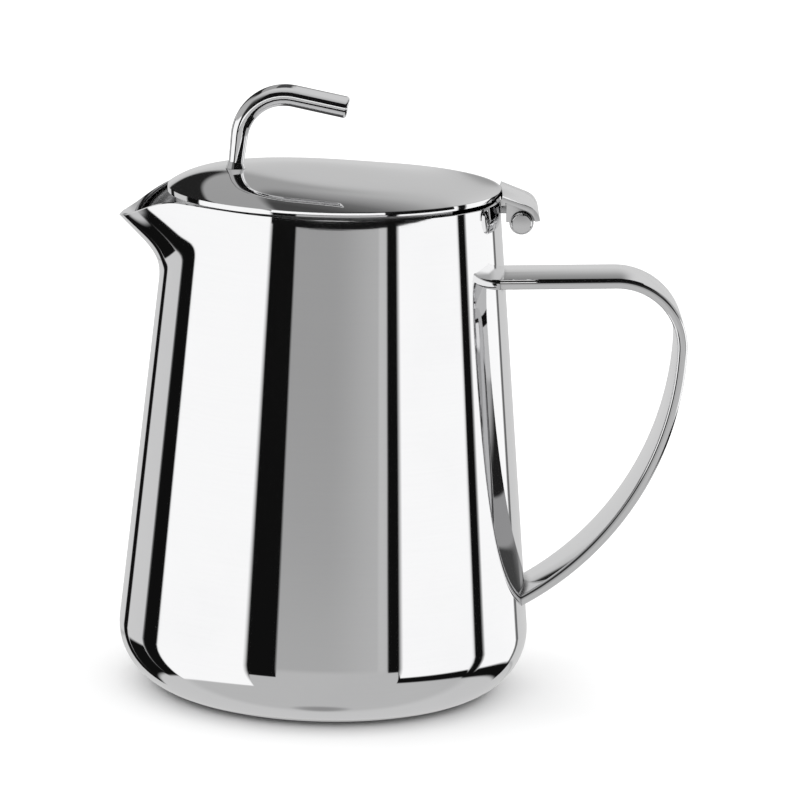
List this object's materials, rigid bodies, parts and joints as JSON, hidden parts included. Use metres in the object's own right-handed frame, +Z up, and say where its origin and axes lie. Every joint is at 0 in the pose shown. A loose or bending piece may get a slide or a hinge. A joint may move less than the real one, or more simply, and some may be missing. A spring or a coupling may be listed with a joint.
{
  "type": "teapot",
  "caption": "Mirror-polished steel teapot with a tapered body, pressed pouring lip, hinged lid with a bent-rod hook, and a flat strap handle.",
  "frame": {"origin": "on the table, under the middle of the body", "axes": "+Z up, -X towards the pouring lip, +X towards the hinge and the handle, +Y completes the frame"},
  "size_m": [0.1322, 0.096, 0.1414],
  "materials": {
    "body_steel": "mirror-polished stainless steel",
    "lid_steel": "mirror-polished stainless steel",
    "handle_steel": "mirror-polished stainless steel",
    "hook_steel": "mirror-polished stainless steel",
    "hinge_steel": "polished stainless steel",
    "inner_steel": "satin stainless steel"
  },
  "bodies": {
    "pot": {"pot_shell": "body_steel", "base_disc": "inner_steel", "spout_strainer": "inner_steel", "handle_strap": "handle_steel", "hinge_lug": "hinge_steel", "hinge_pin": "hinge_steel"},
    "lid": {"lid_shell": "lid_steel", "lid_ring": "inner_steel", "lid_hinge_strap": "hinge_steel", "lid_hook": "hook_steel", "hook_washer": "inner_steel", "hook_nut": "inner_steel"}
  },
  "joints": [
    {"name": "lid_hinge", "type": "hinge", "parent": "pot", "child": "lid", "pos_m": [0.04309, 0, 0.1124], "axis": [0, 1, 0], "range_deg": [0, 100]}
  ]
}
